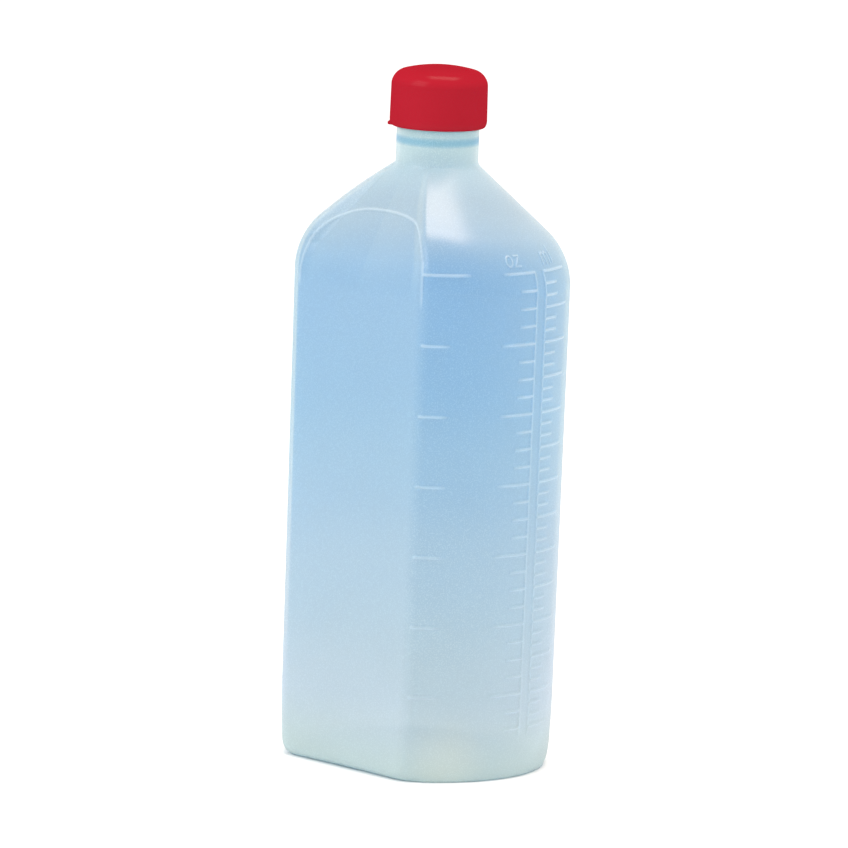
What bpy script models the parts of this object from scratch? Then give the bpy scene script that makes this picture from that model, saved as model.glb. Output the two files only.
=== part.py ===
"""Flat-sided graduated plastic bottle with a screw cap, modelled at its real size.

Frame: metres, +Z up, foot ring on z = 0, flat label side facing -Y, origin under the middle of
the bounding box. The body is a cylinder with one flat side, lofted up into a round neck.
Angles called "turn" are measured about the neck axis, from the flat side's outward normal (-Y),
counter-clockwise seen from above, so turn 0 is the middle of the flat and turn 90 degrees is +X.
"""
from math import acos, atan2, ceil, cos, exp, pi, radians, sin, sqrt, tan

import bpy

MM = 0.001

# Body section
BODY_RADIUS = 44.0 * MM          # at the shoulder, where the body is widest
BODY_TAPER = 0.7 * MM            # the round side is this much slimmer at the base
FLAT_OFFSET = 32.3 * MM          # flat side's distance from the neck axis
CORNER_BLEND = 2.2 * MM          # softness of the two corners beside the flat
WALL = 1.25 * MM

# Base
EDGE_INSET_FLAT = 4.4 * MM       # the bottom edge's rounding under the flat side, inwards
EDGE_RISE_FLAT = 3.0 * MM        # and upwards
EDGE_INSET_BACK = 2.3 * MM       # the same under the round side
EDGE_RISE_BACK = 11.0 * MM
HEEL_INSET = 1.1 * MM            # the round side also draws in a little above that edge
HEEL_HEIGHT = 24.0 * MM
FOOT_WIDTH = 4.0 * MM            # flat ring that the bottle stands on
RECESS_SLOPE = 2.5 * MM
RECESS_DEPTH = 2.4 * MM

# Shoulder
EAVE_HEIGHT = 164.6 * MM         # where the shoulder's slope line meets the wall line
CORNER_LIFT = 4.6 * MM           # the shoulder is fuller above the two corners
CORNER_CROWN = 0.9 * MM          # and its slope is slightly convex there
CORNER_SPREAD = radians(32)
FLAT_EAVE_DROP = 7.0 * MM        # the shoulder over the flat side starts this much lower
FLAT_EAVE_EDGES = (radians(36), radians(44))
CREASE_START = 166.0 * MM        # above this the flat side's shoulder narrows towards the neck
CREASE_LEAN = radians(0.28) / MM
SHOULDER_FILLET = 24.0 * MM
SHOULDER_TOP = 192.5 * MM
NECK_BLEND = 1.2 * MM            # softness of the hollow where the shoulder meets the neck

# Neck and its thread
NECK_RADIUS = 13.15 * MM
BEAD_TOP = 203.9 * MM            # the plain neck ends here, just under the cap
FINISH_RADIUS = 12.75 * MM
LIP_HEIGHT = 217.8 * MM
THREAD_PITCH = 4.23 * MM
THREAD_TURNS = 1.5
THREAD_START = 207.0 * MM
NECK_CREST_RADIUS = 13.65 * MM
RIB_ROOT_WIDTH = 1.7 * MM
RIB_CREST_WIDTH = 0.9 * MM
RIB_EMBED = 0.5 * MM             # how far a rib's root is sunk into its wall
RIB_RAMP_STEPS = 4               # facets over which a rib's end rises to its crest

# Cap and liner
CAP_RADIUS = 15.5 * MM
CAP_RIM = 204.8 * MM
CAP_TOP = 223.85 * MM
CAP_EDGE_ROUND = 3.6 * MM
CAP_DRAFT = 0.15 * MM            # the skirt is this much slimmer at its top
CAP_DOME = 2.7 * MM              # the top falls away this much from its middle to the skirt
CAP_RIM_ROUND = 1.1 * MM
CAP_BORE_RADIUS = 14.05 * MM
CAP_CREST_RADIUS = 13.15 * MM
CAP_CEILING = 219.6 * MM         # underside of the cap's top
CAP_CEILING_CHAMFER = 0.8 * MM
LINER_RADIUS = 13.1 * MM
LINER_THICKNESS = 1.2 * MM
GAP = 0.3 * MM

# Raised mould lines: the panel's arch and the graduations
LINE_HEIGHT = 0.35 * MM
LINE_WIDTH = 0.8 * MM
LINE_EMBED = 0.6 * MM
ARCH_HALF_WIDTH = 27.9 * MM
ARCH_CENTRE = 1.0 * MM           # the arch stands a little towards the scales
ARCH_SPRING = 155.0 * MM
ARCH_RISE = 23.6 * MM
ARCH_FULLNESS = 0.77             # 1 is an ellipse, less is squarer
ARCH_FOOT = 151.0 * MM           # the arch's two ends run out on the upright wall
FIRST_MARK = 27.7 * MM
MAIN_STEP = 22.47 * MM           # 4 fluid ounces, or about 120 ml
MAIN_MARKS = 7
EDGE_SCALE_TURN = radians(42.4)
EDGE_MARK_REACH = radians(12)
TOP_MARK_REACH = radians(20)
OUNCE_SCALE_TURN = radians(95.2)
OUNCES_PER_STEP = 4
OUNCE_LONG_REACH = radians(17.6)
OUNCE_SHORT_REACH = radians(9.3)
MILLILITRE_SCALE_TURN = radians(101.1)
MILLILITRE_MARKS_PER_STEP = 6
MILLILITRE_LONG_REACH = radians(19.2)
MILLILITRE_SHORT_REACH = radians(9.4)
SCALE_FOOT = 14.0 * MM

# The neck axis stands off the origin, because the flat side makes the section lopsided.
NECK_Y = -(BODY_RADIUS - FLAT_OFFSET - LINE_HEIGHT) / 2
FLAT_HALF_ANGLE = acos(FLAT_OFFSET / BODY_RADIUS)
ROUND_STEPS = 48                 # facets round the cap, the liner and one turn of thread


def blended_minimum(first, second, blend):
    """The smaller of two values, with a soft change-over where they are close."""
    overlap = max(blend - abs(first - second), 0) / blend
    return min(first, second) - overlap ** 2 * blend / 4


def wrapped(turn):
    """The same direction as an angle between -pi and pi."""
    return (turn + pi) % (2 * pi) - pi


def section_radius(turn, height=EAVE_HEIGHT):
    """Distance from the neck axis to the outside of the upright wall."""
    turn = wrapped(turn)
    heel = max(1 - height / HEEL_HEIGHT, 0) ** 2
    round_radius = BODY_RADIUS - BODY_TAPER * max(1 - height / EAVE_HEIGHT, 0) - HEEL_INSET * heel
    if abs(turn) > radians(80):
        return round_radius
    return blended_minimum(round_radius, FLAT_OFFSET / cos(turn), CORNER_BLEND)


def flat_share(turn):
    """1 over the flat side, 0 round the back, with a smooth change at the corners."""
    away = (abs(wrapped(turn)) - radians(35)) / radians(20)
    away = min(max(away, 0), 1)
    return 1 - away * away * (3 - 2 * away)


def bottom_edge(turn):
    """How far the bottom edge's rounding reaches inwards and upwards."""
    share = flat_share(turn)
    inset = EDGE_INSET_BACK + (EDGE_INSET_FLAT - EDGE_INSET_BACK) * share
    rise = EDGE_RISE_BACK + (EDGE_RISE_FLAT - EDGE_RISE_BACK) * share
    return inset, rise


def corner_share(turn):
    """1 above the flat side's corners, falling away on both sides."""
    off_corner = (abs(wrapped(turn)) - FLAT_HALF_ANGLE) / CORNER_SPREAD
    return exp(-off_corner ** 2)


def leaned(turn, height):
    """The turn that a direction corresponds to at the eave, following the leaning crease."""
    return abs(wrapped(turn)) + CREASE_LEAN * max(height - CREASE_START, 0)


def eave_drop(turn, height):
    """How much lower the shoulder starts over the flat side than round the back."""
    start, end = FLAT_EAVE_EDGES
    away = min(max((leaned(turn, height) - start) / (end - start), 0), 1)
    return FLAT_EAVE_DROP * (1 - away * away * (3 - 2 * away))


def shoulder_line(turn, height=EAVE_HEIGHT):
    """Eave height, slope from the horizontal, and length of the fillet's tangents."""
    eave = EAVE_HEIGHT + CORNER_LIFT * corner_share(turn) - eave_drop(turn, height)
    slope = atan2(SHOULDER_TOP - eave, section_radius(leaned(turn, height)) - NECK_RADIUS)
    return eave, slope, SHOULDER_FILLET * tan((pi / 2 - slope) / 2)


def surface_radius(turn, height):
    """Distance from the neck axis to the outside of the body, above the bottom edge."""
    eave, slope, tangent = shoulder_line(turn, height)
    above_wall = height - (eave - tangent)
    if above_wall <= 0:
        return section_radius(turn, height)
    slope_start = eave + tangent * sin(slope)
    if height < slope_start:
        wall = section_radius(leaned(turn, height))
        return wall - SHOULDER_FILLET + sqrt(SHOULDER_FILLET ** 2 - above_wall ** 2)
    share = (height - slope_start) / (SHOULDER_TOP - slope_start)
    crown = CORNER_CROWN * corner_share(turn) * max(4 * share * (1 - share), 0)
    outward = NECK_RADIUS + (SHOULDER_TOP - height) / tan(slope) + crown
    blend = NECK_BLEND * (1.05 - corner_share(turn))
    return -blended_minimum(-NECK_RADIUS, -outward, blend)


def surface_point(turn, height, proud=0.0):
    """A point on the body's outside, or standing proud of it, about the neck axis."""
    radius = surface_radius(turn, height) + proud
    return (radius * sin(turn), -radius * cos(turn), height)


def body_profile(turn):
    """Radius and height of the outside, from the middle of the base to the lip."""
    inset, rise = bottom_edge(turn)
    foot_outside = section_radius(turn, rise) - inset
    foot_inside = foot_outside - FOOT_WIDTH
    recess = foot_inside - RECESS_SLOPE
    profile = [(recess * 0.5, RECESS_DEPTH), (recess, RECESS_DEPTH), (foot_inside, 0), (foot_outside, 0)]
    for step in range(1, 5):
        bend = radians(90) * step / 4
        profile.append((foot_outside + inset * sin(bend), rise * (1 - cos(bend))))
    eave, slope, tangent = shoulder_line(turn)
    wall_top = eave - tangent
    slope_start = eave + tangent * sin(slope)
    for height in (HEEL_HEIGHT * 0.6, HEEL_HEIGHT, wall_top / 2):
        profile.append((section_radius(turn, height), height))
    for step in range(9):
        height = wall_top + (slope_start - wall_top) * sin(radians(90) * step / 8)
        profile.append((surface_radius(turn, height), height))
    for share in (0.35, 0.7, 0.93, 1.0, 1.06):
        height = slope_start + (SHOULDER_TOP - slope_start) * share
        profile.append((surface_radius(turn, height), height))
    profile.append((NECK_RADIUS, BEAD_TOP))
    profile.append((FINISH_RADIUS, BEAD_TOP + 0.4 * MM))
    profile.append((FINISH_RADIUS, LIP_HEIGHT))
    return profile


def loft_turns():
    """Directions of the loft's columns: close together at the two corners."""
    flat = [radians(d) for d in (-24, -12, 0, 12, 24)]
    corner = [radians(d) for d in (30, 34, 37, 39, 41, 43, 45, 48, 52)]
    round_back = [radians(58 + 6.1 * step) for step in range(41)]
    return sorted(flat + corner + [-turn for turn in corner] + [wrapped(turn) for turn in round_back])


def make_object(name, vertices, faces, collection):
    mesh = bpy.data.meshes.new(name)
    mesh.from_pydata(vertices, [], faces)
    mesh.validate()
    mesh.shade_smooth()
    mesh.set_sharp_from_angle(angle=radians(35))
    thing = bpy.data.objects.new(name, mesh)
    thing.location = (0, NECK_Y, 0)
    collection.objects.link(thing)
    return thing


def make_loft(name, collection):
    """The bottle's outside as an open skin, from the base's middle to the lip."""
    turns = loft_turns()
    vertices = [(0, 0, RECESS_DEPTH)]
    for turn in turns:
        for radius, height in body_profile(turn):
            vertices.append((radius * sin(turn), -radius * cos(turn), height))
    rows = len(body_profile(0))
    faces = []
    for column in range(len(turns)):
        here = 1 + column * rows
        there = 1 + (column + 1) % len(turns) * rows
        faces.append((0, there, here))
        for row in range(rows - 1):
            faces.append((here + row, there + row, there + row + 1, here + row + 1))
    return make_object(name, vertices, faces, collection)


def make_relief(name, cells, collection):
    """A closed raised pattern over four-cornered cells, each a list of (turn, height)."""
    index = {}
    places = []
    for cell in cells:
        for turn, height in cell:
            key = (round(turn, 7), round(height, 7))
            if key not in index:
                index[key] = len(places)
                places.append((turn, height))
    count = len(places)
    vertices = [surface_point(turn, height, LINE_HEIGHT) for turn, height in places]
    vertices += [surface_point(turn, height, -LINE_EMBED) for turn, height in places]
    faces = []
    edges = set()
    for cell in cells:
        top = [index[(round(turn, 7), round(height, 7))] for turn, height in cell]
        faces.append(tuple(top))
        faces.append(tuple(corner + count for corner in reversed(top)))
        edges.update(zip(top, top[1:] + top[:1]))
    for start, end in edges:
        if (end, start) not in edges:
            faces.append((start, start + count, end + count, end))
    return make_object(name, vertices, faces, collection)


def bar_cells(start, end, low, high, step=radians(5)):
    """Cells of one bar round the body from one turn to another."""
    count = max(1, ceil(abs(end - start) / step))
    turns = sorted(start + (end - start) * number / count for number in range(count + 1))
    return [[(a, low), (b, low), (b, high), (a, high)] for a, b in zip(turns, turns[1:])]


def scale_cells(line_turn, side, marks):
    """An upright line with marks on one side; marks is a list of (height, reach)."""
    half = LINE_WIDTH / 2
    half_turn = half / BODY_RADIUS
    breaks = [SCALE_FOOT]
    cells = []
    for height, reach in sorted(marks):
        breaks += [height - half, height + half]
        begin = line_turn + side * half_turn
        cells += bar_cells(begin, line_turn + side * reach, height - half, height + half)
    for low, high in zip(breaks, breaks[1:]):
        cells += bar_cells(line_turn - half_turn, line_turn + half_turn, low, high)
    return cells


def mark_heights(marks_per_step):
    """Heights and numbers of every mark, the first number being 0 at the top main mark."""
    top = FIRST_MARK + MAIN_STEP * (MAIN_MARKS - 1)
    count = int((top - SCALE_FOOT) / MAIN_STEP * marks_per_step)
    return [(top - MAIN_STEP / marks_per_step * number, number) for number in range(count + 1)]


def ounce_marks():
    heights = mark_heights(OUNCES_PER_STEP)
    return [(z, OUNCE_SHORT_REACH if n % OUNCES_PER_STEP else OUNCE_LONG_REACH) for z, n in heights]


def millilitre_marks():
    heights = mark_heights(MILLILITRE_MARKS_PER_STEP)
    return [(z, MILLILITRE_SHORT_REACH if n % 3 else MILLILITRE_LONG_REACH) for z, n in heights]


def edge_mark_cells():
    """The main marks that start at the corner beside the flat side."""
    cells = []
    for number in range(MAIN_MARKS):
        height = FIRST_MARK + MAIN_STEP * number
        reach = TOP_MARK_REACH if number == MAIN_MARKS - 1 else EDGE_MARK_REACH
        end = EDGE_SCALE_TURN + reach
        cells.append((EDGE_SCALE_TURN, end, height - LINE_WIDTH / 2, height + LINE_WIDTH / 2))
    return cells


def turn_at(across, height):
    """Direction of the surface point that stands a given distance to the side of the axis."""
    low, high = -pi / 2, pi / 2
    for _ in range(40):
        middle = (low + high) / 2
        if surface_radius(middle, height) * sin(middle) < across:
            low = middle
        else:
            high = middle
    return middle


def arch_cells():
    """The raised arch over the flat side."""
    path = [(ARCH_CENTRE + ARCH_HALF_WIDTH, ARCH_FOOT)]
    steps = 28
    for step in range(steps + 1):
        bend = pi * step / steps
        reach = abs(cos(bend)) ** ARCH_FULLNESS * (1 if cos(bend) > 0 else -1)
        rise = sin(bend) ** ARCH_FULLNESS if 0 < step < steps else 0
        path.append((ARCH_CENTRE + ARCH_HALF_WIDTH * reach, ARCH_SPRING + ARCH_RISE * rise))
    path.append((ARCH_CENTRE - ARCH_HALF_WIDTH, ARCH_FOOT))
    rails = []
    for number, (across, height) in enumerate(path):
        before = path[max(number - 1, 0)]
        after = path[min(number + 1, len(path) - 1)]
        run = (after[0] - before[0], after[1] - before[1])
        length = sqrt(run[0] ** 2 + run[1] ** 2)
        shift = (run[1] / length * LINE_WIDTH / 2, -run[0] / length * LINE_WIDTH / 2)
        sides = []
        for way in (1, -1):
            side_height = height + way * shift[1]
            sides.append((turn_at(across + way * shift[0], side_height), side_height))
        rails.append(sides)
    return [[a[1], a[0], b[0], b[1]] for a, b in zip(rails, rails[1:])]


def make_thread(name, wall_radius, crest_radius, start_height, collection):
    """A helical rib whose root is sunk into its wall, with blunt ends that ramp down."""
    outward = 1 if crest_radius > wall_radius else -1
    root = wall_radius - outward * RIB_EMBED
    steps = int(THREAD_TURNS * ROUND_STEPS)
    rib_foot = wall_radius - outward * RIB_EMBED / 2
    vertices = []
    for step in range(steps + 1):
        turn = 2 * pi * step / ROUND_STEPS
        centre = start_height + THREAD_PITCH * step / ROUND_STEPS
        ramp = min(step, steps - step, RIB_RAMP_STEPS) / RIB_RAMP_STEPS
        crest = rib_foot + (crest_radius - rib_foot) * ramp
        section = [(root, -RIB_ROOT_WIDTH / 2), (crest, -RIB_CREST_WIDTH / 2),
                   (crest, RIB_CREST_WIDTH / 2), (root, RIB_ROOT_WIDTH / 2)]
        if outward < 0:
            section.reverse()
        for radius, rise in section:
            vertices.append((radius * cos(turn), radius * sin(turn), centre + rise))
    faces = [(3, 2, 1, 0), tuple(4 * steps + corner for corner in range(4))]
    for step in range(steps):
        for corner in range(4):
            following = (corner + 1) % 4
            faces.append((4 * step + corner, 4 * step + following,
                          4 * step + 4 + following, 4 * step + 4 + corner))
    return make_object(name, vertices, faces, collection)


def make_turned(name, profile, collection):
    """A solid turned about the neck axis; the profile runs down its outer side."""
    edges = [(number, number + 1) for number in range(len(profile) - 1)]
    mesh = bpy.data.meshes.new(name)
    mesh.from_pydata([(radius, 0, height) for radius, height in profile], edges, [])
    thing = bpy.data.objects.new(name, mesh)
    thing.location = (0, NECK_Y, 0)
    collection.objects.link(thing)
    screw = thing.modifiers.new("turn", "SCREW")
    screw.steps = ROUND_STEPS
    screw.render_steps = ROUND_STEPS
    screw.use_merge_vertices = True
    screw.merge_threshold = 0.00001
    screw.use_smooth_shade = True
    return thing


def join_on(thing, cutter):
    """Unite a helper solid with a piece, and keep the helper out of the render."""
    cutter.hide_render = True
    cutter.display_type = "WIRE"
    union = thing.modifiers.new("join " + cutter.name, "BOOLEAN")
    union.operation = "UNION"
    union.solver = "EXACT"
    union.object = cutter


def give_material(thing, name, colour, roughness, transmission=0.0):
    material = bpy.data.materials.new(name)
    material.use_nodes = True
    shader = material.node_tree.nodes["Principled BSDF"]
    shader.inputs["Base Color"].default_value = (*colour, 1)
    shader.inputs["Roughness"].default_value = roughness
    shader.inputs["Metallic"].default_value = 0.0
    shader.inputs["Transmission Weight"].default_value = transmission
    thing.data.materials.append(material)


def new_collection(name):
    collection = bpy.data.collections.new(name)
    bpy.context.scene.collection.children.link(collection)
    return collection


def build_bottle(parts, helpers):
    bottle = make_loft("bottle_body", parts)
    shell = bottle.modifiers.new("wall", "SOLIDIFY")
    shell.thickness = WALL
    shell.offset = -1
    shell.use_even_offset = True
    join_on(bottle, make_thread("neck_thread", FINISH_RADIUS, NECK_CREST_RADIUS, THREAD_START, helpers))
    join_on(bottle, make_relief("panel_arch", arch_cells(), helpers))
    ounces = scale_cells(OUNCE_SCALE_TURN, -1, ounce_marks())
    join_on(bottle, make_relief("ounce_scale", ounces, helpers))
    millilitres = scale_cells(MILLILITRE_SCALE_TURN, 1, millilitre_marks())
    join_on(bottle, make_relief("millilitre_scale", millilitres, helpers))
    for number, (start, end, low, high) in enumerate(edge_mark_cells()):
        join_on(bottle, make_relief("edge_mark_%d" % number, bar_cells(start, end, low, high), helpers))
    give_material(bottle, "frosted_polyethylene", (0.55, 0.72, 0.82), 0.4, 0.3)


def build_cap(parts, helpers):
    slim = CAP_RADIUS - CAP_DRAFT
    edge_start = slim - CAP_EDGE_ROUND
    profile = [(0, CAP_TOP), (edge_start * 0.5, CAP_TOP - CAP_DOME * (edge_start * 0.5 / slim) ** 2)]
    for step in range(8):
        bend = radians(90) * step / 7
        radius = edge_start + CAP_EDGE_ROUND * sin(bend)
        fall = CAP_DOME * (radius / slim) ** 2 + CAP_EDGE_ROUND * (1 - cos(bend))
        profile.append((radius, CAP_TOP - fall))
    for step in range(4):
        bend = radians(90) * step / 3
        inset = CAP_RIM_ROUND * (1 - cos(bend))
        profile.append((CAP_RADIUS - inset, CAP_RIM + CAP_RIM_ROUND * (1 - sin(bend))))
    profile += [(CAP_BORE_RADIUS, CAP_RIM), (CAP_BORE_RADIUS, CAP_CEILING - CAP_CEILING_CHAMFER),
                (CAP_BORE_RADIUS - CAP_CEILING_CHAMFER, CAP_CEILING), (0, CAP_CEILING)]
    cap = make_turned("screw_cap", profile, parts)
    start = THREAD_START + THREAD_PITCH / 2
    join_on(cap, make_thread("cap_thread", CAP_BORE_RADIUS, CAP_CREST_RADIUS, start, helpers))
    give_material(cap, "red_polypropylene", (0.42, 0.01, 0.022), 0.35)


def build_liner(parts):
    top = CAP_CEILING - GAP
    bottom = top - LINER_THICKNESS
    profile = [(0, top), (LINER_RADIUS, top), (LINER_RADIUS, bottom), (0, bottom)]
    liner = make_turned("cap_liner", profile, parts)
    give_material(liner, "foam_polyethylene", (0.85, 0.86, 0.85), 0.7)


def main():
    for thing in list(bpy.data.objects):
        bpy.data.objects.remove(thing)
    parts = new_collection("flat_sided_bottle")
    helpers = new_collection("helpers")
    build_bottle(parts, helpers)
    build_cap(parts, helpers)
    build_liner(parts)


main()
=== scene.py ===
"""Looks of a flat-sided, graduated, translucent plastic bottle with a red screw cap.

Frame: metres, +Z up, foot ring on z = 0, flat label side facing -Y.
Angles called "turn" are measured about the neck axis from the flat side's outward normal (-Y),
counter-clockwise seen from above, so turn 0 is the middle of the flat and turn 90 degrees is +X.
"""

from math import acos, atan, cos, pi, radians, sin

import bpy
import numpy as np
from mathutils import Matrix, Vector


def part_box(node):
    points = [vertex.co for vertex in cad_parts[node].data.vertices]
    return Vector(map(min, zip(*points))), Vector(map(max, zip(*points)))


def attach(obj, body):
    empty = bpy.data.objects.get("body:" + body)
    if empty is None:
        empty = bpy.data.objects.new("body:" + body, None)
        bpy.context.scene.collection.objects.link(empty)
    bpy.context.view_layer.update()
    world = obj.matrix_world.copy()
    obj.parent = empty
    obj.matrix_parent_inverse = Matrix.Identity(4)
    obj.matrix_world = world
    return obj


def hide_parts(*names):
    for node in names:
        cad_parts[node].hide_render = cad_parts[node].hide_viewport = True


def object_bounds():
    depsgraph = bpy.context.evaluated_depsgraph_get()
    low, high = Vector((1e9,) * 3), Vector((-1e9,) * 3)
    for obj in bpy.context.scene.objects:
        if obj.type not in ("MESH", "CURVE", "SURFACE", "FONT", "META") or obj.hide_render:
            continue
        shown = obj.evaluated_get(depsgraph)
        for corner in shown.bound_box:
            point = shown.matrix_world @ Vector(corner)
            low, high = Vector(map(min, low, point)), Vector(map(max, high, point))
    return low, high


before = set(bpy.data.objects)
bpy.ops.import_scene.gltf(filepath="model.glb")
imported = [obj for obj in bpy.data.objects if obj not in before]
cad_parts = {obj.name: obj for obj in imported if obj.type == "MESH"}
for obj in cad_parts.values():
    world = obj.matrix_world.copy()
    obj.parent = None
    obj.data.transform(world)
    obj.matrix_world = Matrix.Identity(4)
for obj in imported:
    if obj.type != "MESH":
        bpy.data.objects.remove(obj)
cad_low, cad_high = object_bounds()

MM = 0.001

# Body section
BODY_RADIUS = 44.0 * MM
BODY_TAPER = 0.7 * MM
FLAT_OFFSET = 32.3 * MM
CORNER_BLEND = 2.2 * MM
ROUND_SIDE_START = radians(80)   # from here round the back the section is a plain circle
WALL = 1.25 * MM

# Base
EDGE_INSET_FLAT = 4.4 * MM
EDGE_RISE_FLAT = 3.0 * MM
EDGE_INSET_BACK = 2.3 * MM
EDGE_RISE_BACK = 11.0 * MM
EDGE_CHANGE = (radians(35), radians(55))
HEEL_INSET = 1.1 * MM
HEEL_HEIGHT = 24.0 * MM
FOOT_WIDTH = 4.0 * MM
RECESS_SLOPE = 2.5 * MM
RECESS_DEPTH = 2.4 * MM
SEAM_HEIGHT = 0.6 * MM           # the pinch-off scar across the recess
SEAM_HALF_WIDTH = 0.5 * MM
SEAM_HALF_LENGTH = 24 * MM
WALL_START = 12.0 * MM           # above this height every row of the skin is level

# Shoulder and neck
EAVE_HEIGHT = 164.6 * MM
CORNER_LIFT = 4.6 * MM
CORNER_CROWN = 0.9 * MM
CORNER_SPREAD = radians(32)
FLAT_EAVE_DROP = 7.0 * MM        # the shoulder starts this much lower over the flat
FLAT_EAVE_EDGES = (radians(36), radians(44))
CREASE_START = 166.0 * MM        # above this height the flat's edge leans towards the middle
CREASE_LEAN = radians(0.28) / MM
SHOULDER_FILLET = 24.0 * MM
SHOULDER_TOP = 192.5 * MM
NECK_BLEND = 1.2 * MM
NECK_RADIUS = 13.15 * MM
BEAD_TOP = 203.9 * MM
FINISH_RADIUS = 12.75 * MM
LIP_HEIGHT = 217.8 * MM
LIP_ROUND = 0.35 * MM

# Threads
THREAD_PITCH = 4.23 * MM
THREAD_TURNS = 1.5
THREAD_START = 207.0 * MM
NECK_CREST_RADIUS = 13.65 * MM
RIB_ROOT_WIDTH = 1.7 * MM
RIB_CREST_WIDTH = 0.9 * MM
RIB_RAMP = radians(30)

# Cap and liner
CAP_RADIUS = 15.5 * MM
CAP_RIM = 204.3 * MM
CAP_TOP = 223.85 * MM
CAP_EDGE_ROUND = 3.6 * MM
CAP_DRAFT = 0.15 * MM
CAP_DOME = 2.7 * MM
CAP_RIM_ROUND = 1.1 * MM         # the rim is rounded this far in
CAP_RIM_ROUND_HEIGHT = 2.3 * MM  # and this far up
CAP_BORE_RADIUS = 14.05 * MM
CAP_CREST_RADIUS = 13.15 * MM
CAP_CEILING = 219.6 * MM
CAP_CEILING_CHAMFER = 0.8 * MM
LINER_RADIUS = 13.1 * MM
LINER_THICKNESS = 1.2 * MM
LINER_FLAT_RADIUS = 10.6 * MM    # inside the groove that the lip presses
LINER_GROOVE_RADIUS = 12.1 * MM
GAP = 0.3 * MM
NUB_TURN = radians(-43.8)        # small moulding nub low on the cap's skirt
NUB_HEIGHT = 0.6 * MM
NUB_HALF_WIDTH = 1.3 * MM
NUB_TOP = 1.4 * MM               # above the rim

# Raised mould lines
LINE_HEIGHT = 0.35 * MM
LINE_HALF = 0.4 * MM
LINE_SHOULDER = (-0.3 * MM, 0.2 * MM)   # where a line's rounded flank starts and ends
UPRIGHT_STRENGTH = 0.6
FREE_END_FADE = 0.5
FREE_END_REACH = 3 * MM
ARCH_HALF_WIDTH = 27.9 * MM
ARCH_CENTRE = 1.0 * MM
ARCH_SPRING = 155.0 * MM
ARCH_RISE = 23.6 * MM
ARCH_FULLNESS = 0.77
ARCH_FOOT = 151.0 * MM
ARCH_EDGE_TURN = radians(50)
FIRST_MARK = 27.7 * MM
MAIN_STEP = 22.47 * MM
MAIN_MARKS = 7
EDGE_SCALE_TURN = radians(42.4)
EDGE_MARK_REACH = radians(12)
TOP_MARK_REACH = radians(20)
OUNCE_SCALE_TURN = radians(95.2)
OUNCE_LONG_REACH = radians(17.6)
OUNCE_SHORT_REACH = radians(9.3)
MILLILITRE_SCALE_TURN = radians(101.1)
MILLILITRE_LONG_REACH = radians(19.2)
MILLILITRE_SHORT_REACH = radians(9.4)
SCALE_FOOT = 14.0 * MM
TOP_MARK = FIRST_MARK + MAIN_STEP * (MAIN_MARKS - 1)
OUNCE_MARKS_PER_STEP = 4
MILLILITRE_MARKS_PER_STEP = 6
MILLILITRE_MARKS_PER_LONG = 3
LETTER_SIZE = 4.4 * MM
LETTER_BASE = TOP_MARK + 2.2 * MM
LETTER_HALF = 0.26 * MM
OUNCE_LETTERS_TURN = radians(80.0)
MILLILITRE_LETTERS_TURN = radians(103.0)

FLAT_HALF_ANGLE = acos(FLAT_OFFSET / BODY_RADIUS)
cap_low, cap_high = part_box("screw_cap")
NECK_Y = (cap_low.y + cap_high.y) / 2


# ---------------------------------------------------------------- shape rules

def blended_minimum(first, second, blend):
    overlap = np.maximum(blend - np.abs(first - second), 0) / blend
    return np.minimum(first, second) - overlap ** 2 * blend / 4


def smooth_step(value, start, end):
    share = np.clip((value - start) / (end - start), 0, 1)
    return share * share * (3 - 2 * share)


def wrapped(turn):
    return (turn + pi) % (2 * pi) - pi


def section_radius(turn, height):
    """Distance from the neck axis to the outside of the upright wall."""
    turn = wrapped(turn)
    heel = np.maximum(1 - height / HEEL_HEIGHT, 0) ** 2
    slim = BODY_TAPER * np.maximum(1 - height / EAVE_HEIGHT, 0)
    round_radius = BODY_RADIUS - slim - HEEL_INSET * heel + 0 * turn
    flat = FLAT_OFFSET / np.maximum(np.cos(turn), cos(ROUND_SIDE_START))
    return np.where(np.abs(turn) > ROUND_SIDE_START, round_radius,
                    blended_minimum(round_radius, flat, CORNER_BLEND))


def bottom_edge(turn):
    """How far the bottom edge's rounding reaches inwards and upwards."""
    share = 1 - smooth_step(np.abs(wrapped(turn)), *EDGE_CHANGE)
    inset = EDGE_INSET_BACK + (EDGE_INSET_FLAT - EDGE_INSET_BACK) * share
    rise = EDGE_RISE_BACK + (EDGE_RISE_FLAT - EDGE_RISE_BACK) * share
    return inset, rise


def corner_share(turn):
    return np.exp(-((np.abs(wrapped(turn)) - FLAT_HALF_ANGLE) / CORNER_SPREAD) ** 2)


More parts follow.
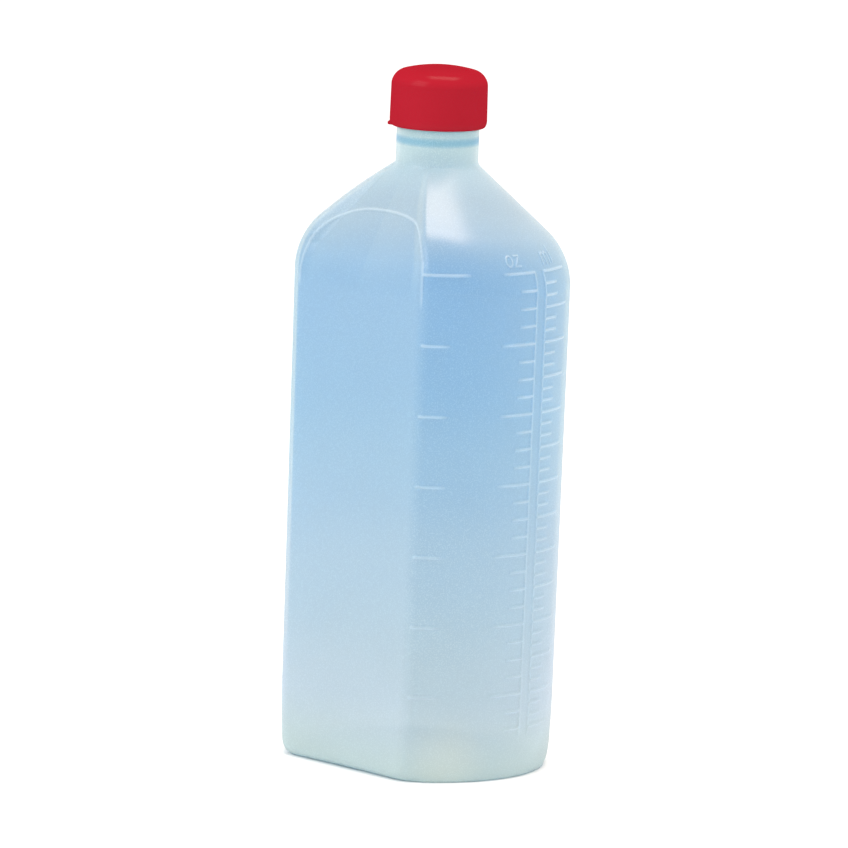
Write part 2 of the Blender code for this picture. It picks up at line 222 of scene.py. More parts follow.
def surface_radius(turn, height):
    """Distance from the neck axis to the plain outside, above the bottom edge."""
    corner = corner_share(turn)
    leaned = np.abs(wrapped(turn)) + CREASE_LEAN * np.maximum(height - CREASE_START, 0)
    over_flat = 1 - smooth_step(leaned, *FLAT_EAVE_EDGES)
    eave = EAVE_HEIGHT + CORNER_LIFT * corner - FLAT_EAVE_DROP * over_flat
    wall = section_radius(leaned, EAVE_HEIGHT + 0 * height)
    slope = np.arctan2(SHOULDER_TOP - eave, wall - NECK_RADIUS)
    tangent = SHOULDER_FILLET * np.tan((pi / 2 - slope) / 2)
    above_wall = height - (eave - tangent)
    slope_start = eave + tangent * np.sin(slope)
    sagitta = np.sqrt(np.maximum(SHOULDER_FILLET ** 2 - np.clip(above_wall, 0, None) ** 2, 0))
    fillet = wall - SHOULDER_FILLET + sagitta
    share = (height - slope_start) / (SHOULDER_TOP - slope_start)
    crown = CORNER_CROWN * corner * np.maximum(4 * share * (1 - share), 0)
    outward = NECK_RADIUS + (SHOULDER_TOP - height) / np.tan(slope) + crown
    blend = NECK_BLEND * (1.05 - corner)
    shoulder = -blended_minimum(-NECK_RADIUS + 0 * outward, -outward, blend)
    upright = section_radius(turn, height)
    return np.where(above_wall <= 0, upright, np.where(height < slope_start, fillet, shoulder))


# ------------------------------------------------------------ raised mould lines

def rise_of(distance):
    """Rounded rise of a raised line from the signed distance to its outline."""
    return 1 - smooth_step(distance, *LINE_SHOULDER)


def bar_rise(turn, height, start, end, low, high):
    """A raised bar between two turns and two heights."""
    across = (np.abs(turn - (start + end) / 2) - abs(end - start) / 2) * BODY_RADIUS
    along = np.abs(height - (low + high) / 2) - (high - low) / 2
    outside = np.hypot(np.maximum(across, 0), np.maximum(along, 0))
    return rise_of(outside + np.minimum(np.maximum(across, along), 0))


def mark_heights(marks_per_step):
    count = int((TOP_MARK - SCALE_FOOT) / MAIN_STEP * marks_per_step)
    return [(TOP_MARK - MAIN_STEP / marks_per_step * number, number) for number in range(count + 1)]


def mark_bars():
    """Every level mark as (start turn, end turn, height, turn of its free end)."""
    bars = []
    for height, number in mark_heights(OUNCE_MARKS_PER_STEP):
        reach = OUNCE_SHORT_REACH if number % OUNCE_MARKS_PER_STEP else OUNCE_LONG_REACH
        end = OUNCE_SCALE_TURN - reach
        bars.append((end, OUNCE_SCALE_TURN, height, end))
    for height, number in mark_heights(MILLILITRE_MARKS_PER_STEP):
        reach = MILLILITRE_SHORT_REACH if number % MILLILITRE_MARKS_PER_LONG else MILLILITRE_LONG_REACH
        end = MILLILITRE_SCALE_TURN + reach
        bars.append((MILLILITRE_SCALE_TURN, end, height, end))
    for number in range(MAIN_MARKS):
        reach = TOP_MARK_REACH if number == MAIN_MARKS - 1 else EDGE_MARK_REACH
        end = EDGE_SCALE_TURN + reach
        bars.append((EDGE_SCALE_TURN, end, FIRST_MARK + MAIN_STEP * number, end))
    return bars


def arch_path():
    """The panel's arch as points (across the flat, height)."""
    bend = np.linspace(0, pi, 361)
    reach = np.abs(np.cos(bend)) ** ARCH_FULLNESS * np.sign(np.cos(bend))
    across = ARCH_CENTRE + np.concatenate([[1], reach, [-1]]) * ARCH_HALF_WIDTH
    rise = np.abs(np.sin(bend)) ** ARCH_FULLNESS
    height = np.concatenate([[ARCH_FOOT], ARCH_SPRING + ARCH_RISE * rise, [ARCH_FOOT]])
    return across, height


def stroke_rise(across, height, path_across, path_height, half):
    """A raised line of the given half width along a path."""
    nearest = np.full(across.shape, 1.0)
    ends = zip(path_across[:-1], path_height[:-1], path_across[1:], path_height[1:])
    for from_a, from_h, to_a, to_h in ends:
        run_a, run_h = to_a - from_a, to_h - from_h
        length = max(run_a ** 2 + run_h ** 2, 1e-12)
        share = np.clip(((across - from_a) * run_a + (height - from_h) * run_h) / length, 0, 1)
        gap = np.hypot(across - from_a - share * run_a, height - from_h - share * run_h)
        nearest = np.minimum(nearest, gap)
    return rise_of(nearest - half)


def letter_strokes():
    """The unit marks as strokes, in letter heights: a list of (list of x, list of y)."""
    turn = np.linspace(0, 2 * pi, 17)
    ounce = [(0.32 + 0.3 * np.cos(turn), 0.36 + 0.36 * np.sin(turn)),
             (np.array([0.85, 1.35, 0.85, 1.38]), np.array([0.72, 0.72, 0.0, 0.0]))]
    hump = np.linspace(pi, 0, 9)
    milli = [(np.array([0.0, 0.0]), np.array([0.0, 0.72])),
             (np.append(0.25 + 0.25 * np.cos(hump), 0.5), np.append(0.47 + 0.25 * np.sin(hump), 0.0)),
             (np.append(0.75 + 0.25 * np.cos(hump), 1.0), np.append(0.47 + 0.25 * np.sin(hump), 0.0)),
             (np.array([1.4, 1.4]), np.array([0.0, 1.08]))]
    return ounce, milli


def relief(turn, height):
    """How much of the full line height stands at each point, from 0 to 1."""
    turn, height = np.broadcast_arrays(wrapped(turn), height)
    rise = np.zeros(turn.shape)
    uprights = [(OUNCE_SCALE_TURN, SCALE_FOOT, TOP_MARK + LINE_HALF),
                (MILLILITRE_SCALE_TURN, SCALE_FOOT, TOP_MARK + LINE_HALF)]
    half_turn = LINE_HALF / BODY_RADIUS
    for line_turn, low, high in uprights:
        upright = bar_rise(turn, height, line_turn - half_turn, line_turn + half_turn, low, high)
        rise = np.maximum(rise, UPRIGHT_STRENGTH * upright)
    for start, end, level, free in mark_bars():
        rows = np.abs(height[:, 0] - level) < 1.2 * MM
        columns = (turn[0] > start - 0.03) & (turn[0] < end + 0.03)
        block = np.ix_(rows, columns)
        bar = bar_rise(turn[block], height[block], start, end, level - LINE_HALF, level + LINE_HALF)
        from_free = np.abs(turn[block] - free) * BODY_RADIUS
        bar *= 1 - FREE_END_FADE * (1 - smooth_step(from_free, 0, FREE_END_REACH))
        rise[block] = np.maximum(rise[block], bar)
    rows = (height[:, 0] > ARCH_FOOT - 1 * MM) & (height[:, 0] < ARCH_SPRING + ARCH_RISE + 2 * MM)
    columns = np.abs(turn[0]) < ARCH_EDGE_TURN
    block = np.ix_(rows, columns)
    across = surface_radius(turn[block], height[block]) * np.sin(turn[block])
    arch = stroke_rise(across, height[block], *arch_path(), LINE_HALF)
    arch *= smooth_step(height[block], ARCH_FOOT, ARCH_SPRING)
    rise[block] = np.maximum(rise[block], arch)
    rows = (height[:, 0] > LETTER_BASE - 1 * MM) & (height[:, 0] < LETTER_BASE + LETTER_SIZE * 1.2)
    for strokes, letters_turn in zip(letter_strokes(), (OUNCE_LETTERS_TURN, MILLILITRE_LETTERS_TURN)):
        last_turn = letters_turn + 1.7 * LETTER_SIZE / BODY_RADIUS
        columns = (turn[0] > letters_turn - 0.03) & (turn[0] < last_turn)
        block = np.ix_(rows, columns)
        across = (turn[block] - letters_turn) * BODY_RADIUS
        for path_x, path_y in strokes:
            stroke = stroke_rise(across, height[block] - LETTER_BASE, path_x * LETTER_SIZE,
                                 path_y * LETTER_SIZE, LETTER_HALF)
            rise[block] = np.maximum(rise[block], stroke)
    return rise


def thread_rise(turn, height, start_height):
    """Share of a helical rib's full height at each point of its wall."""
    rise = np.zeros(np.broadcast(turn, height).shape)
    first = (turn - pi / 2) % (2 * pi)
    for lap in range(2):
        along = first + 2 * pi * lap
        off_centre = np.abs(height - start_height - THREAD_PITCH * along / (2 * pi))
        flank = 1 - smooth_step(off_centre, RIB_CREST_WIDTH / 2 - 0.1 * MM, RIB_ROOT_WIDTH / 2 + 0.05 * MM)
        ends = np.clip(np.minimum(along, THREAD_TURNS * 2 * pi - along) / RIB_RAMP, 0, 1)
        rise = np.maximum(rise, flank * ends)
    return rise


# ---------------------------------------------------------------- mesh builders

def spaced(anchors, widest):
    """Sorted anchors, with extra values between them so that no gap is wider than the given one."""
    anchors = sorted(set(np.round(anchors, 8)))
    values = []
    for low, high in zip(anchors, anchors[1:]):
        count = max(1, int(np.ceil((high - low) / widest - 1e-6)))
        values += [low + (high - low) * number / count for number in range(count)]
    return values + [anchors[-1]]


def thinned(values, closest):
    """The values without those that stand closer than the given gap to the one before."""
    kept = [values[0]]
    for value in values[1:]:
        if value - kept[-1] >= closest:
            kept.append(value)
    return kept


def grid_mesh(name, turns, radii, heights, poles, top_first, materials, slots=None, line=None):
    """A closed body from rings of points about the neck axis, with a pole at each end.

    poles is the height of the first pole and of the last; top_first says that the rings start at
    the top of the outside and run down it. slots has one material slot for each gap between rings.
    """
    rows, columns = radii.shape
    points = np.stack([radii * np.sin(turns), -radii * np.cos(turns) + NECK_Y, heights], axis=-1)
    pole_points = np.array([[0, NECK_Y, height] for height in poles])
    vertices = np.concatenate([points.reshape(-1, 3), pole_points])
    slots = np.zeros(rows - 1) if slots is None else slots
    here = np.arange(columns)
    there = (here + 1) % columns
    row = np.arange(rows - 1)[:, None] * columns
    quads = np.stack([row + here, row + there, row + columns + there, row + columns + here], axis=-1)
    quads = quads.reshape(-1, 4)
    top = (rows - 1) * columns
    first = np.stack([np.full(columns, rows * columns), there, here], axis=-1)
    last = np.stack([np.full(columns, rows * columns + 1), top + here, top + there], axis=-1)
    if top_first:
        quads, first, last = quads[:, ::-1], first[:, ::-1], last[:, ::-1]
    loops = np.concatenate([first.ravel(), quads.ravel(), last.ravel()])
    sizes = np.concatenate([np.full(columns, 3), np.full(len(quads), 4), np.full(columns, 3)])
    starts = np.concatenate([[0], np.cumsum(sizes)[:-1]])
    mesh = bpy.data.meshes.new(name)
    mesh.vertices.add(len(vertices))
    mesh.vertices.foreach_set("co", vertices.astype(np.float32).ravel())
    mesh.loops.add(len(loops))
    mesh.loops.foreach_set("vertex_index", loops.astype(np.int32))
    mesh.polygons.add(len(sizes))
    mesh.polygons.foreach_set("loop_start", starts.astype(np.int32))
    for material in materials:
        mesh.materials.append(material)
    slot_of = np.repeat(np.concatenate([slots[:1], slots, slots[-1:]]), columns)
    mesh.polygons.foreach_set("material_index", slot_of.astype(np.int32))
    mesh.update(calc_edges=True)
    mesh.validate()
    if line is not None:
        values = np.append(line.ravel(), [0, 0]).astype(np.float32)
        mesh.attributes.new("line", "FLOAT", "POINT").data.foreach_set("value", values)
    mesh.shade_smooth()
    thing = bpy.data.objects.new(name, mesh)
    bpy.context.scene.collection.objects.link(thing)
    return thing


def bottle_turns():
    """Directions of the skin's columns, close together where lines run upright or end."""
    step = 1 / BODY_RADIUS
    anchors = [-pi, pi]
    offsets = [d * MM * step for d in (-0.6, -0.4, -0.2, 0, 0.2, 0.4, 0.6)]
    for line in (OUNCE_SCALE_TURN, MILLILITRE_SCALE_TURN):
        anchors += [line + offset for offset in offsets]
    beside = 0.2 * MM * step
    for start, end, _, _ in mark_bars():
        anchors += [start - beside, start + beside, end - beside, end + beside]
    anchors += list(np.arange(-ARCH_EDGE_TURN, ARCH_EDGE_TURN, 0.3 * MM / FLAT_OFFSET))
    for letters in (OUNCE_LETTERS_TURN, MILLILITRE_LETTERS_TURN):
        anchors += list(np.arange(letters - 0.01, letters + 1.6 * LETTER_SIZE * step, 0.22 * MM * step))
    turns = thinned(spaced(anchors, 0.9 * MM * step), 0.1 * MM * step)
    return np.array(turns[:-1])


def wall_levels():
    """Heights of the level rows between the bottom edge and the neck's finish."""
    anchors = [WALL_START, BEAD_TOP - 0.3 * MM, SCALE_FOOT - 0.1 * MM, SCALE_FOOT + 0.2 * MM]
    for _, _, level, _ in mark_bars():
        anchors += [level + d * MM for d in (-0.56, -0.36, -0.16, 0.16, 0.36, 0.56)]
    anchors += list(np.arange(ARCH_FOOT - 1 * MM, ARCH_SPRING + ARCH_RISE + 1.5 * MM, 0.3 * MM))
    anchors += list(np.arange(LETTER_BASE - 0.6 * MM, LETTER_BASE + 1.2 * LETTER_SIZE, 0.22 * MM))
    anchors += list(np.arange(SHOULDER_TOP - 2 * MM, SHOULDER_TOP + 2 * MM, 0.25 * MM))
    return np.array(thinned(spaced(anchors, 0.9 * MM), 0.08 * MM))


def build_bottle(outside, inside):
    turns = bottle_turns()
    ones = np.ones(len(turns))
    inset, rise = bottom_edge(turns)
    wall_foot = section_radius(turns, rise)
    foot_outside = wall_foot - inset
    foot_inside = foot_outside - FOOT_WIDTH
    recess = foot_inside - RECESS_SLOPE
    radii, heights, lines, slots = [], [], [], []

    def add(radius, height, line=0.0, slot=0):
        radii.append(radius * ones)
        heights.append(height * ones)
        lines.append(line * ones)
        slots.append(slot)

    # Base: recess with the pinch-off seam across it, then the foot ring and the rounded edge.
    for share in np.linspace(0.02, 1, 34):
        radius = recess * share
        off_line = np.abs(radius * np.cos(turns)) - SEAM_HALF_WIDTH
        off_end = np.abs(radius * np.sin(turns)) - SEAM_HALF_LENGTH
        scar = 1 - smooth_step(off_line, -0.3 * MM, 0.3 * MM)
        scar *= 1 - smooth_step(off_end, -2 * MM, 2 * MM)
        add(radius, RECESS_DEPTH - SEAM_HEIGHT * scar)
    for share in np.linspace(0, 1, 11)[1:]:
        add(recess + (foot_inside - recess) * share, RECESS_DEPTH * (1 - smooth_step(share, 0, 1)))
    for share in (0.12, 0.5, 0.88, 1.0):
        add(foot_inside + FOOT_WIDTH * share, 0)
    for step in range(1, 19):
        bend = radians(90) * step / 18
        add(foot_outside + inset * sin(bend), rise * (1 - cos(bend)))
    for share in np.linspace(0, 1, 13)[1:-1]:
        height = rise + (WALL_START - rise) * share
        line = relief(turns[None], height[None])[0]
        add(section_radius(turns, height) + LINE_HEIGHT * line, height, line)

    # Wall, shoulder and neck, with the raised lines.
    levels = wall_levels()[:, None]
    line = relief(turns[None] + 0 * levels, levels + 0 * turns[None])
    plain = surface_radius(turns[None] + 0 * levels, levels + 0 * turns[None])
    for radius, level, shares in zip(plain + LINE_HEIGHT * line, levels[:, 0], line):
        add(radius, level, shares)

    # Neck finish with its thread, and the rounded lip.
    for share in (0.35, 0.65, 1.0):
        drop = (NECK_RADIUS - FINISH_RADIUS) * smooth_step(share, 0, 1)
        add(NECK_RADIUS - drop, BEAD_TOP - 0.3 * MM + 0.7 * MM * share)
    for height in np.arange(BEAD_TOP + 0.6 * MM, LIP_HEIGHT - LIP_ROUND, 0.18 * MM):
        rib = thread_rise(turns, height, THREAD_START)
        add(FINISH_RADIUS + (NECK_CREST_RADIUS - FINISH_RADIUS) * rib, height)
    bore = FINISH_RADIUS - WALL
    for step in range(6):
        bend = radians(90) * step / 5
        add(FINISH_RADIUS - LIP_ROUND * (1 - cos(bend)), LIP_HEIGHT - LIP_ROUND * (1 - sin(bend)))
    for step in range(6):
        bend = radians(90) * step / 5
        add(bore + LIP_ROUND * (1 - sin(bend)), LIP_HEIGHT - LIP_ROUND * (1 - cos(bend)), slot=1)

    # Inside: the bore, then the wall's inner side one wall thickness in, down to the floor.
    for height in np.arange(LIP_HEIGHT - 2 * MM, BEAD_TOP + 1 * MM, -2 * MM):
        add(bore, height, slot=1)
    inner_anchors = [WALL_START, EAVE_HEIGHT - 12 * MM, SHOULDER_TOP, BEAD_TOP - 1 * MM]
    inner_levels = np.array(spaced(inner_anchors, 1.3 * MM))
    grid_turn = turns[None] + 0 * inner_levels[:, None]
    grid_level = inner_levels[:, None] + 0 * turns[None]
    outer = surface_radius(grid_turn, grid_level)
    by_turn = np.roll(outer, -1, 1) - np.roll(outer, 1, 1)
    by_turn /= (np.roll(turns, -1) - np.roll(turns, 1)) % (2 * pi)
    by_level = np.gradient(outer, inner_levels, axis=0)
    length = np.sqrt(outer ** 2 * (1 + by_level ** 2) + by_turn ** 2)
    out_radial, out_around, out_up = outer / length, -by_turn / length, -outer * by_level / length
    radial = outer - WALL * out_radial
    around = -WALL * out_around
    inner_radius = np.hypot(radial, around)
    inner_turn = grid_turn + np.arctan2(around, radial)
    inner_height = grid_level - WALL * out_up
    count_before = len(radii)
    for radius, height in zip(inner_radius[::-1], inner_height[::-1]):
        add(radius, height, slot=1)
    inner_inset = inset + 0.8 * MM
    inner_rise = np.maximum(rise - WALL, 3 * MM)
    inner_wall = section_radius(turns, rise + 0.5 * MM) - WALL
    for step in range(13):
        bend = radians(90) * (1 - step / 12)
        add(inner_wall - inner_inset * (1 - sin(bend)), WALL + inner_rise * (1 - cos(bend)), slot=1)
    floor_edge = inner_wall - inner_inset
    for share in np.linspace(0, 1, 9)[1:]:
        drop = smooth_step(share, 0.15, 1)
        add(floor_edge + (recess - 1.0 * MM - floor_edge) * share, WALL + RECESS_DEPTH * drop, slot=1)
    for share in np.linspace(1, 0.03, 16)[1:]:
        add((recess - 1.0 * MM) * share, WALL + RECESS_DEPTH, slot=1)

    all_turns = np.tile(turns, (len(radii), 1))
    all_turns[count_before:count_before + len(inner_levels)] = inner_turn[::-1]
    poles = (RECESS_DEPTH, WALL + RECESS_DEPTH)
    return grid_mesh("bottle_shell", all_turns, np.array(radii), np.array(heights), poles, False,
                     [outside, inside], np.array(slots[:-1]), np.array(lines))


def build_cap(material):
    turns = np.linspace(-pi, pi, 241)[:-1]
    slim = CAP_RADIUS - CAP_DRAFT
    radii, heights = [], []

    def add(radius, height):
        radii.append(radius + 0 * turns)
        heights.append(height + 0 * turns)

    edge_start = slim - CAP_EDGE_ROUND
    for radius in np.linspace(0.06, 1, 12) * edge_start:
        add(radius, CAP_TOP - CAP_DOME * (radius / slim) ** 2)
    for step in range(1, 17):
        bend = radians(90) * step / 16
        radius = edge_start + CAP_EDGE_ROUND * sin(bend)
        add(radius, CAP_TOP - CAP_DOME * (radius / slim) ** 2 - CAP_EDGE_ROUND * (1 - cos(bend)))
    skirt_top = CAP_TOP - CAP_DOME - CAP_EDGE_ROUND
    nub_share = np.exp(-((turns - NUB_TURN) * CAP_RADIUS / NUB_HALF_WIDTH) ** 4)

    def add_with_nub(radius, height):
        above = height - CAP_RIM
        low = 1 - smooth_step(above, NUB_TOP - 0.6 * MM, NUB_TOP)
        low *= 0.85 + 0.15 * min(above / (0.3 * MM), 1)
        add(radius + nub_share * low * (CAP_RADIUS + NUB_HEIGHT - radius), height)

    for share in np.linspace(0, 1, 19)[1:]:
        height = skirt_top + (CAP_RIM + CAP_RIM_ROUND_HEIGHT - skirt_top) * share
        add_with_nub(slim + CAP_DRAFT * share, height)
    for step in range(1, 13):
        bend = radians(90) * step / 12
        inset = CAP_RIM_ROUND * (1 - cos(bend))
        add_with_nub(CAP_RADIUS - inset, CAP_RIM + CAP_RIM_ROUND_HEIGHT * (1 - sin(bend)))
    for step in range(5):
        bend = radians(90) * step / 4
        add(CAP_BORE_RADIUS + 0.2 * MM * (1 - sin(bend)), CAP_RIM + 0.2 * MM * (1 - cos(bend)))
    for height in np.arange(CAP_RIM + 0.5 * MM, CAP_CEILING - CAP_CEILING_CHAMFER, 0.18 * MM):
        rib = thread_rise(turns, height, THREAD_START + THREAD_PITCH / 2)
        add(CAP_BORE_RADIUS - (CAP_BORE_RADIUS - CAP_CREST_RADIUS) * rib, height)
    for share in (0, 0.5, 1):
        add(CAP_BORE_RADIUS - CAP_CEILING_CHAMFER * share, CAP_CEILING - CAP_CEILING_CHAMFER * (1 - share))
    for share in (0.8, 0.6, 0.4, 0.2):
        add(CAP_BORE_RADIUS * share, CAP_CEILING)
    return grid_mesh("cap_moulding", turns[None], np.array(radii), np.array(heights),
                     (CAP_TOP, CAP_CEILING), True, [material])


def build_liner(material):
    turns = np.linspace(-pi, pi, 145)[:-1]
    top = CAP_CEILING - GAP
    bottom = top - LINER_THICKNESS
    edge = 0.25 * MM
    radii, heights = [], []

    def add(radius, height):
        radii.append(radius + 0 * turns)
        heights.append(height + 0 * turns)

    for share in np.linspace(0.1, 0.95, 9):
        add((LINER_RADIUS - edge) * share, top)
    for step in range(5):
        bend = radians(90) * step / 4
        add(LINER_RADIUS - edge * (1 - sin(bend)), top - edge * (1 - cos(bend)))
    for step in range(5):
        bend = radians(90) * step / 4
        add(LINER_RADIUS - edge * (1 - cos(bend)), bottom + edge * (1 - sin(bend)))
    for radius in np.linspace(LINER_RADIUS - edge - 0.1 * MM, LINER_FLAT_RADIUS, 16):
        off_groove = abs(radius - LINER_GROOVE_RADIUS)
        add(radius, bottom + 0.12 * MM * (1 - smooth_step(off_groove, 0.4 * MM, 0.7 * MM)))
    for share in np.linspace(1, 0.1, 8)[1:]:
        add(LINER_FLAT_RADIUS * share, bottom)
    return grid_mesh("liner_disc", turns[None], np.array(radii), np.array(heights), (top, bottom),
                     True, [material])


# -------------------------------------------------------------------- materials

WHITE = (1, 1, 1, 1)
SKIN_HEIGHT = 0.22               # the skin's colours are given by height up to here
NECK_SHADE_BAND = 200.3 * MM           # painted shade: the neck is coloured bluer in a band below the cap, for the cap's shadow
NECK_SHADE_BAND_HALF = 1.7 * MM
MILKY_SPOT = (0.031, -0.024, 0.009)   # the wall is paler here, low on the rounded side
MILKY_SPOT_REACH = 17 * MM


class Nodes:
    """Small helper to lay out a material's node tree."""

    def __init__(self, name):
        self.material = bpy.data.materials.new(name)
        self.material.use_nodes = True
        self.tree = self.material.node_tree
        self.tree.nodes.clear()

    def add(self, kind, inputs=None, **settings):
        node = self.tree.nodes.new(kind)
        for key, value in settings.items():
            setattr(node, key, value)
        for key, value in (inputs or {}).items():
            socket = node.inputs[key]
            if isinstance(value, bpy.types.NodeSocket):
                self.tree.links.new(value, socket)
            else:
                socket.default_value = value
        return node

    def place(self):
        """The point on the piece, and its height."""
        place = self.add("ShaderNodeTexCoord").outputs["Object"]
        return place, self.add("ShaderNodeSeparateXYZ", {0: place}).outputs["Z"]

    def math(self, operation, first, second=0.0, clamp=False):
        sockets = {0: first, 1: second}
        return self.add("ShaderNodeMath", sockets, operation=operation, use_clamp=clamp).outputs[0]

    def noise(self, place, scale, detail):
        sockets = {"Vector": place, "Scale": scale, "Detail": detail}
        return self.add("ShaderNodeTexNoise", sockets).outputs[0]

    def map_range(self, value, low, high, to_low, to_high, kind="LINEAR"):
        limits = {"Value": value, "From Min": low, "From Max": high, "To Min": to_low, "To Max": to_high}
        return self.add("ShaderNodeMapRange", limits, interpolation_type=kind).outputs[0]

    def bump(self, height, strength, distance):
        sockets = {"Strength": strength, "Distance": distance, "Height": height}
        return self.add("ShaderNodeBump", sockets).outputs[0]

    def scaled(self, colour, share):
        return self.add("ShaderNodeVectorMath", {0: colour, "Scale": share}, operation="SCALE").outputs[0]

    def glossy(self, rough, normal):
        sockets = {"Color": WHITE, "Roughness": rough, "Normal": normal}
        return self.add("ShaderNodeBsdfGlossy", sockets).outputs[0]

    def facing(self, blend):
        return self.add("ShaderNodeLayerWeight", {"Blend": blend}).outputs["Facing"]

    def mix(self, share, first, second):
        node = self.add("ShaderNodeMix", {"Factor": share}, data_type="RGBA")
        for socket, value in ((node.inputs[6], first), (node.inputs[7], second)):
            if isinstance(value, bpy.types.NodeSocket):
                self.tree.links.new(value, socket)
            else:
                socket.default_value = value
        return node.outputs[2]

    def mix_shader(self, share, first, second):
        return self.add("ShaderNodeMixShader", {0: share, 1: first, 2: second}).outputs[0]

    def ramp(self, value, low, high, stops):
        """A colour ramp over a value that runs from low to high; stops are (value, colour)."""
        node = self.add("ShaderNodeValToRGB", {0: self.map_range(value, low, high, 0.0, 1.0)})
        node.color_ramp.interpolation = "EASE"
        points = node.color_ramp.elements
        while len(points) < len(stops):
            points.new(1.0)
        for point, (place, colour) in zip(points, stops):
            point.position = (place - low) / (high - low)
            point.color = colour
        return node.outputs[0]

    def finish(self, shader):
        self.add("ShaderNodeOutputMaterial", {"Surface": shader})
        return self.material


def srgb(red, green, blue):
    """Linear colour from 8-bit display values above 10."""
    return (*(((level / 255 + 0.055) / 1.055) ** 2.4 for level in (red, green, blue)), 1)


def frosted_outside():
    n = Nodes("frosted_polyethylene")
    place, height = n.place()
    body = n.ramp(height, 0, SKIN_HEIGHT, [
        (0.0, srgb(204, 221, 219)), (0.027, srgb(205, 220, 232)), (0.06, srgb(202, 219, 228)),
        (0.117, srgb(197, 221, 226)), (0.155, srgb(198, 221, 226)), (0.18, srgb(202, 215, 216)),
        (0.2, srgb(224, 240, 239))])
    # Painted shade: a bluer band round the neck just below the cap, standing for the cap's shadow there.
    off_shade_band = n.math("ABSOLUTE", n.math("SUBTRACT", height, NECK_SHADE_BAND))
    off_shade_band = n.math("MULTIPLY", off_shade_band, 1 / NECK_SHADE_BAND_HALF)
    shade_band = n.math("SUBTRACT", 1.0, n.math("POWER", off_shade_band, 2.0), clamp=True)
    body = n.mix(n.math("MULTIPLY", shade_band, 0.65), body, srgb(100, 172, 212))
    away = n.add("ShaderNodeVectorMath", {0: place, 1: MILKY_SPOT}, operation="DISTANCE").outputs["Value"]
    milky = n.map_range(away, 0.0, MILKY_SPOT_REACH, 0.6, 0.0, "SMOOTHSTEP")
    body = n.mix(milky, body, srgb(244, 243, 224))
    line = n.add("ShaderNodeAttribute", attribute_name="line").outputs["Fac"]
    line = n.math("MULTIPLY", line, n.map_range(height, 0.03, 0.13, 0.2, 1.0))
    body = n.mix(n.math("MULTIPLY", line, 0.6), body, srgb(226, 238, 242))
    clouds = n.math("MULTIPLY", n.math("SUBTRACT", n.noise(place, 22.0, 2.0), 0.5), 0.10)
    body = n.scaled(body, n.math("ADD", 1.0, clouds))
    grain = n.noise(place, 2600.0, 2.0)
    bump = n.bump(grain, 0.06, 0.0001)
    satin = n.add("ShaderNodeBsdfPrincipled", {
        "Base Color": body, "Roughness": 0.5, "IOR": 1.5, "Specular IOR Level": 0.2,
        "Normal": bump}).outputs[0]
    glow = n.add("ShaderNodeBsdfTranslucent", {"Color": body, "Normal": bump}).outputs[0]
    solid = n.mix_shader(0.4, satin, glow)
    # The painted shade band also tints what shows through the neck bluer.
    clear = n.mix(shade_band, (0.96, 0.98, 0.99, 1), (0.50, 0.84, 0.96, 1))
    clear = n.add("ShaderNodeBsdfTransparent", {"Color": clear}).outputs[0]
    thick_foot = n.map_range(height, -0.01, 0.05, 0.45, 0.0, "SMOOTHSTEP")
    share = n.math("ADD", 0.35, n.math("MULTIPLY", line, 0.2))
    share = n.math("ADD", n.math("MULTIPLY", n.facing(0.25), 0.85), share)
    share = n.math("ADD", share, thick_foot, clamp=True)
    skin = n.mix_shader(share, clear, solid)
    gloss = n.glossy(n.math("ADD", 0.24, n.math("MULTIPLY", grain, 0.06)), bump)
    grazing = n.math("POWER", n.facing(0.5), 4.0)
    return n.finish(n.mix_shader(n.math("ADD", 0.045, n.math("MULTIPLY", grazing, 0.12)), skin, gloss))


def frosted_inside():
    n = Nodes("frosted_polyethylene_inside")
    place, height = n.place()
    body = n.ramp(height, 0, SKIN_HEIGHT, [
        (0.0, srgb(240, 244, 236)), (0.015, srgb(216, 232, 231)), (0.055, srgb(180, 214, 231)),
        (0.085, srgb(147, 199, 230)), (0.12, srgb(107, 187, 233)), (0.15, srgb(84, 178, 232)),
        (0.175, srgb(171, 200, 216)), (0.2, srgb(217, 237, 236))])
    clouds = n.math("MULTIPLY", n.noise(place, 40.0, 2.0), 0.06)
    body = n.scaled(body, n.math("ADD", 0.97, clouds))
    satin = n.add("ShaderNodeBsdfPrincipled", {
        "Base Color": body, "Roughness": 0.5, "Sheen Weight": 0.5, "Sheen Roughness": 0.35}).outputs[0]
    glow = n.add("ShaderNodeBsdfTranslucent", {"Color": body}).outputs[0]
    solid = n.mix_shader(0.6, satin, glow)
    clear = n.add("ShaderNodeBsdfTransparent", {"Color": WHITE}).outputs[0]
    behind = n.add("ShaderNodeNewGeometry").outputs["Backfacing"]
    return n.finish(n.mix_shader(behind, solid, clear))


def red_plastic():
    n = Nodes("red_polypropylene")
    place, height = n.place()
    body = n.mix(n.noise(place, 60.0, 3.0), (0.335, 0.005, 0.015, 1), (0.365, 0.008, 0.021, 1))
    # Painted shade: the cap is coloured darker towards the top of its dome, to offset the top softbox's
    # light there.
    body = n.scaled(body, n.map_range(height, CAP_TOP - 4 * MM, CAP_TOP, 1.0, 0.78))
    grain = n.noise(place, 1600.0, 3.0)
    bump = n.bump(grain, 0.08, 0.0002)
    rough = n.math("ADD", 0.16, n.math("MULTIPLY", grain, 0.08))
    shader = n.add("ShaderNodeBsdfPrincipled", {
        "Base Color": body, "Roughness": rough, "IOR": 1.49, "Specular IOR Level": 0.0,
        "Normal": bump}).outputs[0]
    return n.finish(n.mix_shader(0.008, shader, n.glossy(rough, bump)))


def foam():
    n = Nodes("foamed_polyethylene")
    place, _ = n.place()
    cells = n.add("ShaderNodeTexVoronoi", {"Vector": place, "Scale": 2600.0}).outputs["Distance"]
    body = n.mix(cells, srgb(242, 243, 240), srgb(226, 228, 225))
    shader = n.add("ShaderNodeBsdfPrincipled", {
        "Base Color": body, "Roughness": 0.75, "Normal": n.bump(cells, 0.35, 0.0002)}).outputs[0]
    return n.finish(shader)


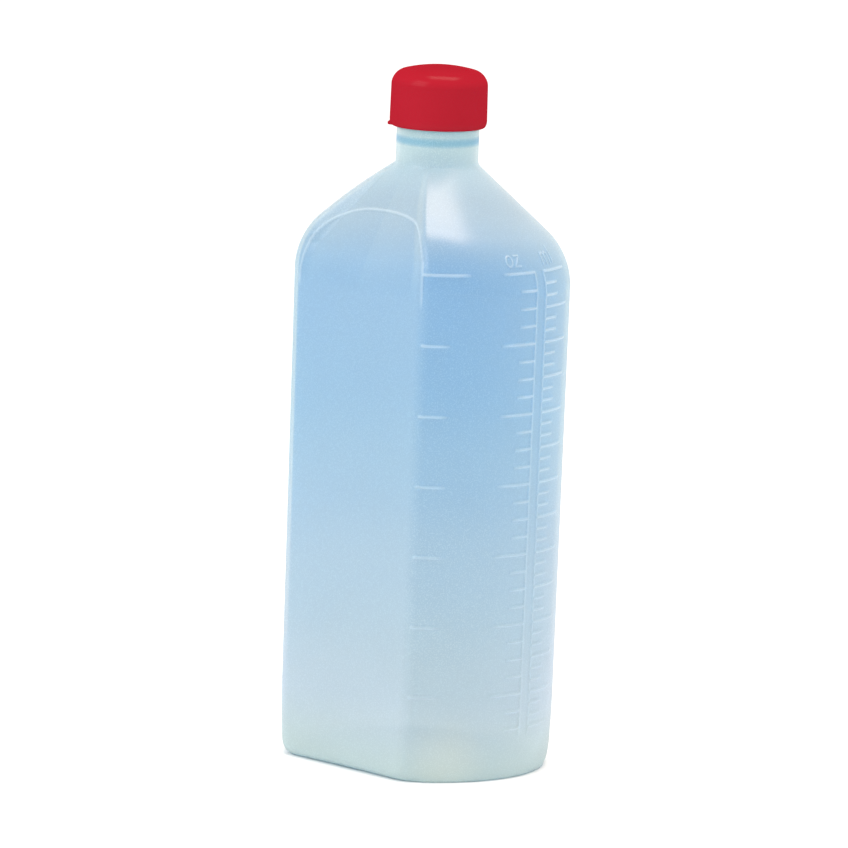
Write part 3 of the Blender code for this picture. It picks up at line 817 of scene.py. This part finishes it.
def pale_floor():
    n = Nodes("pale_floor")
    place, _ = n.place()
    body = n.mix(n.noise(place, 1.5, 2.0), (0.90, 0.90, 0.90, 1), (0.92, 0.92, 0.92, 1))
    return n.finish(n.add("ShaderNodeBsdfDiffuse", {"Color": body}).outputs[0])


# --------------------------------------------------------------- camera and light

VIEW_TURN = radians(46.2)
VIEW_RISE = radians(9.01)
VIEW_DISTANCE = 3.0
VIEW_ROLL = radians(2.15)
LENS = 399.1
AIM_HEIGHT = 105.35 * MM
AIM_LEFT = 0.83 * MM
AIM_UP = 3.03 * MM
WORLD_STRENGTH = 1.15
LIGHT_AIM = Vector((0, 0, 0.15))
WARM = (1, 0.80, 0.68)
FLOOR_SIDE = 14.0
FLOOR_GAP = 0.05 * MM


def make_camera():
    data = bpy.data.cameras.new("camera")
    data.lens = LENS
    data.sensor_width = 36
    data.clip_start = 0.1
    data.clip_end = 40
    camera = bpy.data.objects.new("camera", data)
    bpy.context.scene.collection.objects.link(camera)
    back = Vector((sin(VIEW_TURN) * cos(VIEW_RISE), -cos(VIEW_TURN) * cos(VIEW_RISE), sin(VIEW_RISE)))
    turn = (-back).to_track_quat("-Z", "Y").to_matrix() @ Matrix.Rotation(VIEW_ROLL, 3, "Z")
    aim = Vector((0, NECK_Y, AIM_HEIGHT)) - turn.col[0] * AIM_LEFT + turn.col[1] * AIM_UP
    camera.matrix_world = Matrix.Translation(aim + back * VIEW_DISTANCE) @ turn.to_4x4()
    bpy.context.scene.camera = camera


def make_softbox(name, turn, rise, distance, width, depth, power, colour=(1, 1, 1)):
    data = bpy.data.lights.new(name, "AREA")
    data.shape = "RECTANGLE"
    data.size = width
    data.size_y = depth
    data.energy = power
    data.color = colour
    light = bpy.data.objects.new(name, data)
    bpy.context.scene.collection.objects.link(light)
    away = Vector((sin(turn) * cos(rise), -cos(turn) * cos(rise), sin(rise)))
    light.location = LIGHT_AIM + away * distance
    light.rotation_mode = "QUATERNION"
    light.rotation_quaternion = (-away).to_track_quat("-Z", "Y")


def make_room():
    world = bpy.data.worlds.new("studio")
    world.use_nodes = True
    background = world.node_tree.nodes["Background"]
    background.inputs["Color"].default_value = WHITE
    background.inputs["Strength"].default_value = WORLD_STRENGTH
    bpy.context.scene.world = world
    make_softbox("top_softbox", VIEW_TURN + radians(90), radians(84), 1.4, 0.62, 0.95, 13.5, WARM)
    make_softbox("left_softbox", VIEW_TURN - radians(55), radians(35), 1.8, 1.0, 1.0, 8)
    mesh = bpy.data.meshes.new("floor")
    corners = [(x * FLOOR_SIDE, y * FLOOR_SIDE, 0) for x, y in ((-1, -1), (1, -1), (1, 1), (-1, 1))]
    mesh.from_pydata(corners, [], [(0, 1, 2, 3)])
    mesh.materials.append(pale_floor())
    floor = bpy.data.objects.new("floor", mesh)
    floor.location = (0, 0, cad_low.z - FLOOR_GAP)
    bpy.context.scene.collection.objects.link(floor)
    bpy.context.scene.view_settings.view_transform = "Standard"


bottle = build_bottle(frosted_outside(), frosted_inside())
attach(bottle, "bottle")
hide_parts("bottle_body")

cap = build_cap(red_plastic())
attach(cap, "cap")
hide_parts("screw_cap")

liner = build_liner(foam())
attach(liner, "liner")
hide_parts("cap_liner")

make_camera()
make_room()
